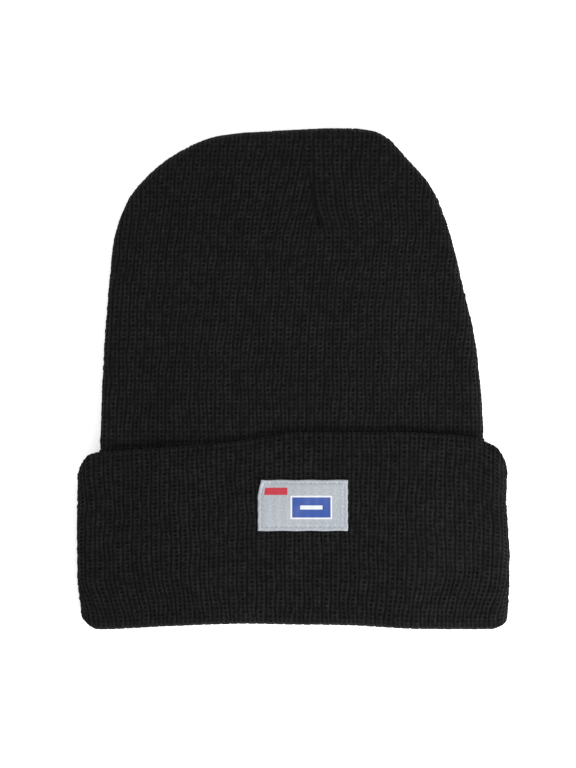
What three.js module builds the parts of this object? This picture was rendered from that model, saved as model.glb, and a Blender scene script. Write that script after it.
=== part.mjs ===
// Knit watch cap with a turned-up cuff, laid flat on its back.
// Millimetres. The front faces +Z, the top of the crown +Y, and the opening -Y.
// The origin is on the surface that the cap rests on, under the middle of it.

import * as THREE from 'three';
import { mergeVertices } from 'three/addons/utils/BufferGeometryUtils.js';

// The rib knit
const WALL = 3.1; // one thickness of knit
const GAP = 0.3; // clearance between pieces that lie against each other
const RIBS = 48; // ribs across the front, and as many across the back
const RELIEF = 0.5; // a rib's crest over the valley beside it
const LAYER = WALL + GAP; // how far the cuff's outer face lies outside the crown's
const LIP = WALL + GAP / 2; // radius of the fold that turns the tube up into the cuff
const JOIN = { height: 12, share: 0.12 }; // where the crown meets the cuff inside: above the fold
const RIM = WALL / 2; // radius of the cuff's free edge

// How the cap lies
const SHOULDER = 89.3; // height where the side edges pass into the seam over the top
const LEVEL_BELOW = -20; // courses are level up to here, and bend towards the seam above it
const MOUTH = -110; // nominal height of the crown's lower end
const CROWNING = 50; // distance over which the front swells from the side folds to the middle
const LIP_LIFT = { left: 3.5, right: 1.5 }; // the lip's rise round the side folds
const RIM_DROP = 6; // the rim's drop round the side folds
const SETTLE = 60; // length over which the courses above the mouth become level
const RIB_START = { inside: 1, outside: 5 }; // the crown's ribs start at the rim, from inside it
const UNEVEN = { height: 0.5, across: 29, along: 37 }; // soft unevenness of the front

// The sewn darts in the middle of the crown
const DART = { depth: 1.5, halfWidth: 2.6, foot: { x: 12.3, y: 77.5 }, top: { x: 3.4, y: 123.5 } };
const DART_START = { below: 4, above: 8 }; // the dart deepens round its foot

// The sewn-on label
const LABEL = { x: 4.7, y: -63.1, width: 44.6, height: 25.8, thick: 0.8 };
const LABEL_CORNER = { lift: 0.9, reach: 7 }; // its top left corner stands off the knit

const KNIT_COLOUR = 0x1b1b1c;
const LABEL_COLOUR = 0xbdc0c7;

// Side edges of the crown, from the mouth inside the cuff up to the shoulders
const CROWN_SIDES = [
  { y: -112, left: -103.2, right: 103.9 },
  { y: -98, left: -103.4, right: 103.6 },
  { y: -75, left: -101.4, right: 101.2 },
  { y: -50, left: -98.0, right: 96.8 },
  { y: -30, left: -96.1, right: 95.0 },
  { y: -5, left: -95.3, right: 93.4 },
  { y: 20, left: -94.1, right: 90.6 },
  { y: 45, left: -92.1, right: 84.9 },
  { y: 65, left: -90.1, right: 80.2 },
  { y: 78, left: -87.3, right: 76.4 },
  { y: 89.3, left: -82.7, right: 72.3 },
];

// The seam over the top of the crown, from the left shoulder to the right one
const CROWN_TOP = [
  { x: -82.7, y: 89.3 },
  { x: -74.6, y: 99.3 },
  { x: -63.1, y: 109.2 },
  { x: -49.1, y: 117.2 },
  { x: -34.6, y: 121.6 },
  { x: -6, y: 123.8 },
  { x: 23, y: 125.0 },
  { x: 38, y: 123.9 },
  { x: 47.2, y: 120.0 },
  { x: 57.3, y: 109.2 },
  { x: 66.3, y: 99.2 },
  { x: 72.3, y: 89.3 },
];

// Side edges of the cuff, by the share of its depth above the fold
const CUFF_SIDES = [
  { share: 0, left: -105.6, right: 106.6 },
  { share: 0.1, left: -106.4, right: 107.2 },
  { share: 0.22, left: -107.4, right: 107.6 },
  { share: 0.45, left: -107.8, right: 107.8 },
  { share: 0.75, left: -107.6, right: 106.2 },
  { share: 1, left: -107.4, right: 106.8 },
];

// The fold at the bottom of the cap and the cuff's free edge, across the cap
const CUFF_LINES = [
  { x: -108, fold: -124.8, rim: -38.4 },
  { x: -92, fold: -125.0, rim: -36.5 },
  { x: -60, fold: -122.8, rim: -34.1 },
  { x: -28, fold: -121.6, rim: -31.2 },
  { x: 0, fold: -122.0, rim: -27.0 },
  { x: 30, fold: -122.5, rim: -26.7 },
  { x: 60, fold: -124.2, rim: -26.9 },
  { x: 90, fold: -125.0, rim: -29.4 },
  { x: 97, fold: -125.0, rim: -32.2 },
  { x: 108, fold: -124.8, rim: -36.2 },
];

// How the crown's tube lies: the underside above the surface, the front face in the middle,
// and the radius of the folds along its edges. Under the cuff it rides on the cuff's back layer.
const LIE = [
  { y: -126, under: LAYER, over: 19.4, radius: 4.8 },
  { y: -100, under: LAYER, over: 19.2, radius: 4.9 },
  { y: -60, under: LAYER, over: 18.6, radius: 5.0 },
  { y: -26, under: LAYER, over: 17.8, radius: 5.0 },
  { y: -11, under: 2.3, over: 17.2, radius: 5.0 },
  { y: 4, under: 0.6, over: 16.4, radius: 5.0 },
  { y: 18, under: 0, over: 15.6, radius: 4.9 },
  { y: 60, under: 0, over: 14.8, radius: 4.8 },
  { y: 100, under: 0, over: 13.8, radius: 4.5 },
  { y: 126, under: 0, over: 13.0, radius: 4.2 },
];

const { clamp, lerp, smoothstep, degToRad } = THREE.MathUtils;

// Reads one named column of a table smoothly between its rows.
function column(table, along, name) {
  const places = table.map((row) => row[along]);
  const values = table.map((row) => row[name]);
  const curve = new THREE.CubicInterpolant(places, values, 1);
  return (place) => curve.evaluate(place)[0];
}

const crownLeft = column(CROWN_SIDES, 'y', 'left');
const crownRight = column(CROWN_SIDES, 'y', 'right');
const cuffLeft = column(CUFF_SIDES, 'share', 'left');
const cuffRight = column(CUFF_SIDES, 'share', 'right');
const foldLine = column(CUFF_LINES, 'x', 'fold');
const rimLine = column(CUFF_LINES, 'x', 'rim');
const lieUnder = column(LIE, 'y', 'under');
const lieOver = column(LIE, 'y', 'over');
const lieRadius = column(LIE, 'y', 'radius');
const topSeam = new THREE.SplineCurve(CROWN_TOP.map((point) => new THREE.Vector2(point.x, point.y)));

// The crown's outline in plan, without its lower end, with an outward direction at each point.
function crownOutline() {
  const sideSteps = 60;
  const topSteps = 80;
  const points = [];
  for (let i = 0; i < sideSteps; i += 1) {
    const y = lerp(CROWN_SIDES[0].y, SHOULDER, i / sideSteps);
    points.push(new THREE.Vector2(crownLeft(y), y));
  }
  points.push(...topSeam.getSpacedPoints(topSteps));
  for (let i = sideSteps - 1; i >= 0; i -= 1) {
    const y = lerp(CROWN_SIDES[0].y, SHOULDER, i / sideSteps);
    points.push(new THREE.Vector2(crownRight(y), y));
  }
  return points.map((point, i) => {
    const before = points[Math.max(i - 1, 0)];
    const after = points[Math.min(i + 1, points.length - 1)];
    const along = after.clone().sub(before).normalize();
    return { point, outward: new THREE.Vector2(-along.y, along.x) };
  });
}

const OUTLINE = crownOutline();

// Distance in from the crown's outline, and the outward direction there.
function fromOutline(x, y) {
  const here = new THREE.Vector2(x, y);
  let best = { inset: Infinity, outward: OUTLINE[0].outward };
  for (let i = 1; i < OUTLINE.length; i += 1) {
    const start = OUTLINE[i - 1];
    const end = OUTLINE[i];
    const span = end.point.clone().sub(start.point);
    const share = clamp(here.clone().sub(start.point).dot(span) / span.lengthSq(), 0, 1);
    const inset = start.point.clone().addScaledVector(span, share).distanceTo(here);
    if (inset < best.inset) {
      const outward = start.outward.clone().lerp(end.outward, share).normalize();
      best = { inset, outward };
    }
  }
  return best;
}

// Distance in from the left side of a flattened tube, for a share of the way along its skin.
// Its side folds are quarter circles in front and behind, so places crowd towards the edges.
function acrossTube(share, width, radius) {
  const quarter = (Math.PI / 2) * radius;
  const length = width - 2 * radius + 2 * quarter;
  const run = share * length;
  if (run < quarter) {
    return radius * (1 - Math.cos(run / radius));
  }
  if (run > length - quarter) {
    return width - radius * (1 - Math.cos((length - run) / radius));
  }
  return radius + run - quarter;
}

// Soft unevenness of the front layers, which rest on each other and share it.
function unevenness(x, y) {
  return UNEVEN.height * Math.sin(x / UNEVEN.across + 1) * Math.sin(y / UNEVEN.along + 1);
}

// Point and outward direction of a flattened tube's skin, at a distance in from its edge.
// Growth sets the skin off outwards: none for the crown, one layer for the cuff.
function skin({ x, y, inset, outward, front, growth }) {
  const radius = lieRadius(y) + growth;
  const under = clamp(lieUnder(y), 0, LAYER) - growth;
  const tilt = clamp(1 - inset / radius, 0, 1);
  const upright = Math.sqrt(1 - tilt * tilt);
  let z = under + radius + (front ? 1 : -1) * radius * upright;
  if (front) {
    const middle = smoothstep(inset - radius, 0, CROWNING);
    z += (lieOver(y) + growth - under - 2 * radius + unevenness(x, y)) * middle;
  }
  const normal = new THREE.Vector3(outward.x * tilt, outward.y * tilt, (front ? 1 : -1) * upright);
  return { point: new THREE.Vector3(x, y, z), normal };
}

// Depth of the sewn darts, which run down the middle of the crown from the seam, front and back.
function dartDepth(x, y) {
  const { foot, top } = DART;
  const middle = lerp(foot.x, top.x, clamp((y - foot.y) / (top.y - foot.y), 0, 1));
  const away = (x - middle) / DART.halfWidth;
  const start = smoothstep(y, foot.y - DART_START.below, foot.y + DART_START.above);
  return DART.depth * Math.exp(-away * away) * start;
}

// Plan place on the crown, and how far in from the side edges it is. Level is the height of a
// course at those edges.
function crownPlace(share, level) {
  const left = crownLeft(level);
  const width = crownRight(level) - left;
  const radius = lieRadius(level);
  const fromLeft = acrossTube(share, width, radius);
  const way = fromLeft / width;
  const bend = clamp((level - LEVEL_BELOW) / (SHOULDER - LEVEL_BELOW), 0, 1) ** 2;
  const seam = topSeam.getPointAt(way);
  const shoulder = lerp(CROWN_TOP[0].x, CROWN_TOP[CROWN_TOP.length - 1].x, way);
  const x = left + fromLeft + bend * (seam.x - shoulder);
  const inset = Math.min(fromLeft, width - fromLeft);
  const settle = 1 - smoothstep(level, MOUTH, MOUTH + SETTLE);
  const y = level + bend * (seam.y - SHOULDER) + settle * (foldLine(x) + JOIN.height - MOUTH);
  return { x, y, inset, outward: new THREE.Vector2(Math.sign(way - 0.5), 0) };
}

// A ring of the crown: its outer skin, or with a depth the face that lies that far inside.
function crownRing({ level, depth, places }) {
  return places.map(({ front, share, turn, crest }) => {
    const place = crownPlace(share, level);
    const { x, y } = place;
    const edge = level > LEVEL_BELOW ? fromOutline(x, y) : place;
    const onEdge = share === 0 || share === 1 || level === SHOULDER;
    const inset = onEdge ? 0 : edge.inset;
    const base = skin({ x, y, inset, outward: edge.outward, front, growth: 0 });
    const outOfCuff = smoothstep(y, rimLine(x) - RIB_START.inside, rimLine(x) + RIB_START.outside);
    const rib = 0.5 * RELIEF * crest * outOfCuff;
    return { turn, point: base.point.addScaledVector(base.normal, rib - depth - dartDepth(x, y)) };
  });
}

// A ring of the cuff. Share is how far up the cuff's face it lies, depth how far it lies inside
// that face, and rise how far it is shifted up. Out and up give the way the ribs stand there.
// A ring at the join is level with the crown's mouth.
function cuffRing({ share: faceShare, depth, rise, out, up, atJoin, places }) {
  return places.map(({ front, share, turn, crest }) => {
    const left = cuffLeft(faceShare);
    const width = cuffRight(faceShare) - left;
    const nominal = lerp(foldLine(0), rimLine(0), faceShare);
    const radius = lieRadius(nominal) + LAYER;
    const fromLeft = acrossTube(share, width, radius);
    const x = left + fromLeft;
    const inset = Math.min(fromLeft, width - fromLeft);
    const round = clamp(1 - inset / radius, 0, 1);
    const lift = (x < 0 ? LIP_LIFT.left : LIP_LIFT.right) * round ** 2;
    const rim = rimLine(x) - RIM_DROP * round ** 3 - RIM;
    const onFace = lerp(foldLine(x) + lift + LIP, rim, faceShare);
    const y = atJoin ? foldLine(x) + JOIN.height - GAP : onFace;
    const outward = new THREE.Vector2(x < 0 ? -1 : 1, 0);
    const base = skin({ x, y, inset, outward, front, growth: LAYER });
    const rib = 0.5 * RELIEF * crest;
    const point = base.point.addScaledVector(base.normal, rib * out - depth);
    point.y += rise + rib * up;
    return { turn, point };
  });
}

// Places round the tube: from the left edge over the front to the right edge, and back behind.
// On a ribbed face they lie in a valley and on a crest by turns.
function placesRound(frontFace, backFace) {
  const crestAt = (face, i) => (face.ribbed ? 2 * (i % 2) - 1 : 0);
  const places = [];
  for (let i = 0; i <= frontFace.steps; i += 1) {
    const share = i / frontFace.steps;
    places.push({ front: true, share, turn: share, crest: crestAt(frontFace, i) });
  }
  for (let i = backFace.steps - 1; i > 0; i -= 1) {
    const share = i / backFace.steps;
    places.push({ front: false, share, turn: 2 - share, crest: crestAt(backFace, i) });
  }
  return places;
}

const PLAIN_FACE = { steps: RIBS, ribbed: false };
const RIBBED_FACE = { steps: 2 * RIBS, ribbed: true };
const PLAIN = placesRound(PLAIN_FACE, PLAIN_FACE);
const RIBBED = placesRound(RIBBED_FACE, PLAIN_FACE);
const RIBBED_SEAM = placesRound(RIBBED_FACE, RIBBED_FACE);

// Triangles between two rings, which may have different numbers of points.
function bridge(triangles, lower, upper) {
  const turnOf = (ring, i) => (i < ring.length ? ring[i].turn : 2);
  const pointOf = (ring, i) => ring[i % ring.length].point;
  let i = 0;
  let j = 0;
  while (i < lower.length || j < upper.length) {
    const stepLower = j === upper.length
      || (i < lower.length && turnOf(lower, i + 1) <= turnOf(upper, j + 1));
    if (stepLower) {
      triangles.push(pointOf(lower, i), pointOf(lower, i + 1), pointOf(upper, j));
      i += 1;
    } else {
      triangles.push(pointOf(lower, i), pointOf(upper, j + 1), pointOf(upper, j));
      j += 1;
    }
  }
}

// A closed solid through rings, each joined to the next.
function solidThrough(rings) {
  const triangles = [];
  for (let i = 1; i < rings.length; i += 1) {
    bridge(triangles, rings[i - 1], rings[i]);
  }
  const geometry = mergeVertices(new THREE.BufferGeometry().setFromPoints(triangles), 1e-4);
  geometry.computeVertexNormals();
  return geometry;
}

// Levels of the crown's rings: inside from the seam down to the mouth, then outside back up, first
// plain where the cuff covers it, then ribbed on the front, and near the seam ribbed all round
const CROWN_LEVELS = {
  inside: [SHOULDER, 88.2, 86.4, 82, 70, 50, 25, 0, -25, -60, -90, MOUTH],
  covered: [MOUTH, -90, -60],
  ribbed: [-39, -28, -15, 0, 18, 38, 56, 70, 79, 84, 86.8],
  seam: [88.3, SHOULDER],
};

// The crown: a tube closed by the seam over the top. The two faces of a ring on the seam coincide.
function crownGeometry() {
  const { inside, covered, ribbed, seam } = CROWN_LEVELS;
  return solidThrough([
    ...inside.map((level) => crownRing({ level, depth: WALL, places: PLAIN })),
    ...covered.map((level) => crownRing({ level, depth: 0, places: PLAIN })),
    ...ribbed.map((level) => crownRing({ level, depth: 0, places: RIBBED })),
    ...seam.map((level) => crownRing({ level, depth: 0, places: RIBBED_SEAM })),
  ]);
}

// The cuff's section: round the lip at the fold, up the face, over the rim, and down inside to the
// crown's mouth. Each entry is one ring.
function cuffSection() {
  const smooth = { rise: 0, out: 0, up: 0, ribbed: false };
  const section = [];
  for (const angle of [0, 45, 90, 135]) {
    const out = -Math.cos(degToRad(angle));
    const up = -Math.sin(degToRad(angle));
    section.push({ share: 0, depth: LIP - LIP * out, rise: LIP * up, out, up, ribbed: angle >= 90 });
  }
  for (const share of [0, 0.15, 0.4, 0.7, 1]) {
    section.push({ share, depth: 0, rise: 0, out: 1, up: 0, ribbed: true });
  }
  for (const angle of [50, 90, 130]) {
    const out = Math.cos(degToRad(angle));
    const up = Math.sin(degToRad(angle));
    section.push({ share: 1, depth: RIM - RIM * out, rise: RIM * up, out, up, ribbed: angle <= 90 });
  }
  for (const share of [1, 0.5]) {
    section.push({ ...smooth, share, depth: WALL });
  }
  for (const depth of [WALL, 2 * LIP]) {
    section.push({ ...smooth, share: JOIN.share, depth, atJoin: true });
  }
  return [...section, section[0]];
}

function cuffGeometry() {
  const places = (ribbed) => (ribbed ? RIBBED : PLAIN);
  return solidThrough(cuffSection().map((ring) => cuffRing({ ...ring, places: places(ring.ribbed) })));
}

// The label: a thin cloth patch that follows the cuff's front, with its top left corner lifting.
function labelGeometry() {
  const geometry = mergeVertices(stripToPlaces(
    new THREE.BoxGeometry(LABEL.width, LABEL.height, LABEL.thick, 16, 8, 1),
  ));
  const position = geometry.getAttribute('position');
  for (let i = 0; i < position.count; i += 1) {
    const x = LABEL.x + position.getX(i);
    const y = LABEL.y + position.getY(i);
    const cuffFace = lieOver(y) + LAYER + unevenness(x, y);
    const toCorner = Math.hypot(position.getX(i) + LABEL.width / 2, position.getY(i) - LABEL.height / 2);
    const corner = LABEL_CORNER.lift * (1 - smoothstep(toCorner, 0, LABEL_CORNER.reach));
    const bottom = cuffFace + RELIEF / 2 + GAP + corner;
    position.setXYZ(i, x, y, bottom + LABEL.thick / 2 + position.getZ(i));
  }
  geometry.computeVertexNormals();
  return geometry;
}

// Leaves only the places of a geometry's corners, so that shared corners can be merged.
function stripToPlaces(geometry) {
  geometry.deleteAttribute('normal');
  geometry.deleteAttribute('uv');
  return geometry;
}

function piece(name, geometry, colour, roughness) {
  const material = new THREE.MeshStandardMaterial({ color: colour, roughness, metalness: 0 });
  const mesh = new THREE.Mesh(geometry, material);
  mesh.name = name;
  return mesh;
}

const cap = new THREE.Group();
cap.add(piece('crown', crownGeometry(), KNIT_COLOUR, 0.95));
cap.add(piece('cuff', cuffGeometry(), KNIT_COLOUR, 0.95));
cap.add(piece('label', labelGeometry(), LABEL_COLOUR, 0.5));

export default cap;
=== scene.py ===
# %% [markdown]
# # A ribbed watch cap, laid flat
# The cap is one tube of rib knit. Its lower end is turned up into a cuff, its upper end is
# closed by a seam and two darts, and a small cloth label is sewn to the cuff.
# The CAD model holds the main forms. This script dresses them: every stitch gets its height
# in the mesh, and the fibres get theirs in the material.

# %% The frame
import math

import bpy
import numpy as np
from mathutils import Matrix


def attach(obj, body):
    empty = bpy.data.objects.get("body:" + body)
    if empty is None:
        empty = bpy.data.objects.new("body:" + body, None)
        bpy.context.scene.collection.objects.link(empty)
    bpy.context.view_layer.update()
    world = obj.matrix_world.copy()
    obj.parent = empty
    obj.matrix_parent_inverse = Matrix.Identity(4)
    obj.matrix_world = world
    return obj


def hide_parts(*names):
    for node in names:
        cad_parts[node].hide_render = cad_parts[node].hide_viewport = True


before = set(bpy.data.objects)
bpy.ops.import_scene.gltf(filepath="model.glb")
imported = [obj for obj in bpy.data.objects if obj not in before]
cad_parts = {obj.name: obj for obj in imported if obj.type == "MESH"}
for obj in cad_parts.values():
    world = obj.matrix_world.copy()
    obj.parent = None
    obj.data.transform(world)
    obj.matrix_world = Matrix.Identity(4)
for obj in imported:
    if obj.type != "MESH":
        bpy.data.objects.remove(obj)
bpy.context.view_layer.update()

MM = 0.001

# %% [markdown]
# ## The camera
# The photograph looks straight down on the cap. A long lens from a metre away shows almost
# no perspective, as in the photograph. At this height one pixel is half a millimetre, so a
# distance that is read from the picture is a length on the cap.

# %% Camera over the cap
VIEW_CENTRE = (-2.65, -2.75)
VIEW_HEIGHT = 1077.7


def add_object(name, data):
    """An object of the scene for a mesh, a lamp or a camera."""
    added = bpy.data.objects.new(name, data)
    bpy.context.scene.collection.objects.link(added)
    return added


camera_data = bpy.data.cameras.new("camera")
camera_data.sensor_width = 36
camera_data.lens = 100
camera = add_object("camera", camera_data)
camera.location = (VIEW_CENTRE[0] * MM, VIEW_CENTRE[1] * MM, VIEW_HEIGHT * MM)
bpy.context.scene.camera = camera
print("camera height:", round(camera.location.z, 3), "m")

# %% [markdown]
# ## The shape of the tube
# The same sizes and tables as in the CAD model, in millimetres. The surface is worked out
# from them and not read from the CAD mesh, because a stitch needs far more points than the
# CAD mesh has.

# %% Sizes of the knit and of how it lies
WALL = 3.1  # one thickness of knit
GAP = 0.3  # clearance between pieces that lie against each other
LAYER = WALL + GAP
LIP = WALL + GAP / 2  # radius of the fold that turns the tube up into the cuff
RIM = WALL / 2  # radius of the cuff's free edge
JOIN = {"height": 12, "share": 0.12}
CROWNING = 50  # distance over which the front swells from the side folds
LIP_LIFT = {"left": 3.5, "right": 1.5}
RIM_DROP = 6
MOUTH_LEVEL = -112  # the mouth's line where it isn't yet bent to follow the fold
MOUTH_SETTLES = 40  # distance over which the rows straighten above the mouth
SHOULDER = 89.3

# %% Outline tables
CROWN_SIDES = {
    "y": [-112, -98, -75, -50, -30, -5, 20, 45, 65, 78, 89.3],
    "left": [-103.2, -103.4, -101.4, -98, -96.1, -95.3, -94.1, -92.1, -90.1, -87.3, -82.7],
    "right": [103.9, 103.6, 101.2, 96.8, 95, 93.4, 90.6, 84.9, 80.2, 76.4, 72.3],
}
CROWN_TOP = {
    "x": [-82.7, -74.6, -63.1, -49.1, -34.6, -6, 23, 38, 47.2, 57.3, 66.3, 72.3],
    "y": [89.3, 99.3, 109.2, 117.2, 121.6, 123.8, 125, 123.9, 120, 109.2, 99.2, 89.3],
}
CUFF_SIDES = {
    "share": [0, 0.1, 0.22, 0.45, 0.75, 1],
    "left": [-105.6, -106.4, -107.4, -107.8, -107.6, -107.4],
    "right": [106.6, 107.2, 107.6, 107.8, 106.2, 106.8],
}
CUFF_LINES = {
    "x": [-108, -92, -60, -28, 0, 30, 60, 90, 97, 108],
    "fold": [-124.8, -125, -122.8, -121.6, -122, -122.5, -124.2, -125, -125, -124.8],
    "rim": [-38.4, -36.5, -34.1, -31.2, -27, -26.7, -26.9, -29.4, -32.2, -36.2],
}
LIE = {
    "y": [-126, -100, -60, -26, -11, 4, 18, 60, 100, 126],
    "under": [LAYER, LAYER, LAYER, LAYER, 2.3, 0.6, 0, 0, 0, 0],
    "over": [19.4, 19.2, 18.6, 17.8, 17.2, 16.4, 15.6, 14.8, 13.8, 13],
    "radius": [4.8, 4.9, 5, 5, 5, 5, 4.9, 4.8, 4.5, 4.2],
}


# %% Smooth curves through the tables
def smooth_column(table, along, name, samples=600):
    """A column of a table as a smooth curve: a cubic between neighbours, level outside."""
    place = np.array(table[along], float)
    value = np.array(table[name], float)
    slope = np.gradient(value, place)
    slope[1:-1] = (value[2:] - value[:-2]) / (place[2:] - place[:-2])
    fine = np.linspace(place[0], place[-1], samples)
    row = np.clip(np.searchsorted(place, fine, side="right") - 1, 0, len(place) - 2)
    step = place[row + 1] - place[row]
    t = (fine - place[row]) / step
    curve = (
        (2 * t**3 - 3 * t**2 + 1) * value[row]
        + (t**3 - 2 * t**2 + t) * step * slope[row]
        + (3 * t**2 - 2 * t**3) * value[row + 1]
        + (t**3 - t**2) * step * slope[row + 1]
    )
    return lambda at: np.interp(at, fine, curve)


crown_left_side = smooth_column(CROWN_SIDES, "y", "left")
crown_right_side = smooth_column(CROWN_SIDES, "y", "right")
cuff_left_side = smooth_column(CUFF_SIDES, "share", "left")
cuff_right_side = smooth_column(CUFF_SIDES, "share", "right")
fold_line = smooth_column(CUFF_LINES, "x", "fold")
rim_line = smooth_column(CUFF_LINES, "x", "rim")
lie_under = smooth_column(LIE, "y", "under")
lie_over = smooth_column(LIE, "y", "over")
lie_radius = smooth_column(LIE, "y", "radius")
print("rim in the middle:", round(float(rim_line(0)), 1), "mm")


# %% Small curve helpers
def smoothstep(value, start, end):
    """0 below start, 1 above end, and a soft passage between."""
    t = np.clip((value - start) / (end - start), 0, 1)
    return t * t * (3 - 2 * t)


def hill(distance, width):
    """1 at no distance, and soft down to nothing at about two widths."""
    return np.exp(-((distance / width) ** 2))


def unevenness(x, y):
    """Soft hills and hollows of the front, under a millimetre high."""
    return 0.5 * np.sin(x / 29 + 1) * np.sin(y / 37 + 1)


# %% [markdown]
# ## The skin of a flattened tube
# A tube that is laid flat has two flat faces and a round fold along each side. Its skin is
# easiest to describe unrolled: a place on it is a distance over the cloth, as a tape
# measure would give it. That is also the way in which ribs run, so the pattern keeps its
# true pitch round the folds instead of being squeezed there.

# %% From a place on the cloth to a point in space
def fold_shift(unrolled_inset, radius):
    """How far a place moves outward when the cloth is laid flat, and its inset in plan."""
    flat = unrolled_inset - (math.pi / 2 - 1) * radius
    bend = unrolled_inset / radius
    inset = np.where(bend < math.pi / 2, radius * (1 - np.cos(bend)), flat)
    return flat - inset, inset


def skin(x, y, inset, outward, front, growth):
    """Point and outward direction of the tube's skin, set off outwards by growth."""
    radius = lie_radius(y) + growth
    under = np.clip(lie_under(y), 0, LAYER) - growth
    tilt = np.clip(1 - inset / radius, 0, 1)
    upright = np.sqrt(1 - tilt**2)
    side = 1 if front else -1
    z = under + radius + side * radius * upright
    if front:
        rise = lie_over(y) + growth - under - 2 * radius + unevenness(x, y)
        z = z + rise * smoothstep(inset - radius, 0, CROWNING)
    point = np.stack([x, y, z], axis=-1)
    direction = [outward[..., 0] * tilt, outward[..., 1] * tilt, side * upright]
    return point, np.stack(direction, axis=-1)


# %% [markdown]
# ## The crown's outline
# The side folds and the seam over the top make one line. Each point of it has an outward
# direction. The unrolled outline lies further out, by what the round of the fold uses up.

# %% Outline of the crown
def even_curve(xs, ys, count):
    """A smooth curve through points, read at even steps along its length."""
    points = np.stack([xs, ys], axis=1).astype(float)
    padded = np.concatenate([points[:1], points, points[-1:]])
    rows = np.repeat(np.arange(len(points) - 1), 40)
    t = np.tile(np.arange(40) / 40, len(points) - 1)[:, None]
    before, start, end, after = (padded[rows + k] for k in range(4))
    fine = start + 0.5 * t * (end - before) + 0.5 * t**2 * (
        2 * before - 5 * start + 4 * end - after
    ) + 0.5 * t**3 * (3 * start - before - 3 * end + after)
    fine = np.concatenate([fine, points[-1:]])
    run = np.concatenate([[0], np.cumsum(np.linalg.norm(np.diff(fine, axis=0), axis=1))])
    even = np.linspace(0, run[-1], count + 1)
    return np.stack([np.interp(even, run, fine[:, k]) for k in (0, 1)], axis=1)


side_heights = np.linspace(MOUTH_LEVEL, SHOULDER, 61)[:-1]
left_points = np.stack([crown_left_side(side_heights), side_heights], axis=1)
right_points = np.stack([crown_right_side(side_heights), side_heights], axis=1)[::-1]
seam_points = even_curve(CROWN_TOP["x"], CROWN_TOP["y"], 90)
outline = np.concatenate([left_points, seam_points, right_points])

along = np.gradient(outline, axis=0)
along /= np.linalg.norm(along, axis=1, keepdims=True)
outline_outward = np.stack([-along[:, 1], along[:, 0]], axis=1)
fold_use = (math.pi / 2 - 1) * lie_radius(outline[:, 1])
unrolled_outline = outline + outline_outward * fold_use[:, None]
top_index = int(np.argmax(unrolled_outline[:, 1]))
print("outline points:", len(outline), " top of the cloth:", unrolled_outline[top_index].round(1))


# %% Distance from the outline
def from_outline(x, y):
    """Distance of unrolled places from the unrolled outline, and the outward direction."""
    best = np.full(x.shape, np.inf)
    outward = np.zeros(x.shape + (2,))
    for k in range(1, len(unrolled_outline)):
        start = unrolled_outline[k - 1]
        span = unrolled_outline[k] - start
        share = ((x - start[0]) * span[0] + (y - start[1]) * span[1]) / (span @ span)
        share = np.clip(share, 0, 1)
        away_x = x - start[0] - share * span[0]
        away_y = y - start[1] - share * span[1]
        away = away_x * away_x + away_y * away_y
        closer = away < best
        best[closer] = away[closer]
        part = share[closer][:, None]
        outward[closer] = (1 - part) * outline_outward[k - 1] + part * outline_outward[k]
    length = np.linalg.norm(outward, axis=-1, keepdims=True)
    return np.sqrt(best), outward / np.maximum(length, 1e-9)


# %% [markdown]
# ## Stitches
# In a one-by-one rib every second column of stitches stands forward, and the column between
# sinks back. A forward column shows two strands that make a V in each course, with a small
# hole between them. The height of the yarn is worked out from the strands themselves: each
# leg of a V is a round yarn along a slanting line, and the highest yarn wins.

# %% Height of the yarn
YARN = 0.66  # radius of the yarn
LEG_FOOT = 0.8  # where a leg starts beside the middle of its rib
LEG_TOP = 1.3  # and where it ends
LEG_HIDDEN = 0.15  # how far a leg reaches under its neighbours, in courses
LEG_BELLY = 0.3  # a leg stands out most in its middle
LEG_SLANT = 0.97  # cosine of a leg's slant
CROSSING = {"rise": 1.5, "length": 0.24}  # where the legs of two courses cross, length in courses
HOLE = {"depth": 0.48, "width": 0.5}  # between the legs
GROUND = -0.15  # level of the yarn behind the holes
RIB_ROLL = 0.2  # a rib's sides lie this much deeper than its middle
CROWN_RIB = 4.1
CROWN_COURSE = 2.3
CUFF_RIB = 4.69
CUFF_COURSE = 2.25
STITCH_HEIGHT = 0.72
STITCH_LIFT = 0.1
CROWN_RELIEF = 0.77  # the crown's stitches stand this much as high as the cuff's
CROWN_SWELL = 0.19  # and the face under them lies this much further out
LIVELY = 0.18  # how much the height varies from stitch to stitch


def stitch_height(rib, course, pitch):
    """Height of the knit's face at a place that is counted in ribs and courses, in mm."""
    middle = np.abs(rib - np.floor(rib) - 0.5)
    across = middle * pitch
    within = course - np.floor(course)
    crossing = hill(np.minimum(within, 1 - within), CROSSING["length"])
    open_hole = HOLE["depth"] * (1 + hand_of_the_knitter(rib, course, 5, 0.4))
    height = GROUND + hill(across, HOLE["width"]) * (CROSSING["rise"] * crossing - open_hole)
    for neighbour in (-1, 0, 1):
        part = (within - neighbour + LEG_HIDDEN) / (1 + 2 * LEG_HIDDEN)
        centre = (LEG_FOOT + (LEG_TOP - LEG_FOOT) * part) * pitch / CROWN_RIB
        away = (across - centre) * LEG_SLANT
        round_part = np.sqrt(np.maximum(YARN**2 - away**2, 0))
        leg = round_part + LEG_BELLY * np.sin(math.pi * np.clip(part, 0, 1))
        shows = (part >= 0) & (part <= 1) & (round_part > 0)
        height = np.where(shows, np.maximum(height, leg), height)
    return STITCH_HEIGHT * (height - RIB_ROLL * (2 * middle) ** 2) + STITCH_LIFT


def hand_of_the_knitter(rib, course, seed, amount):
    """A different small number for each stitch, the same at all its points."""
    rng = np.random.default_rng(seed)
    table = rng.normal(0, amount, (256, 256))
    row = np.floor(rib + 0.0001).astype(int) % 256
    column = np.floor(course + 0.0001).astype(int) % 256
    return table[row, column]


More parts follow.
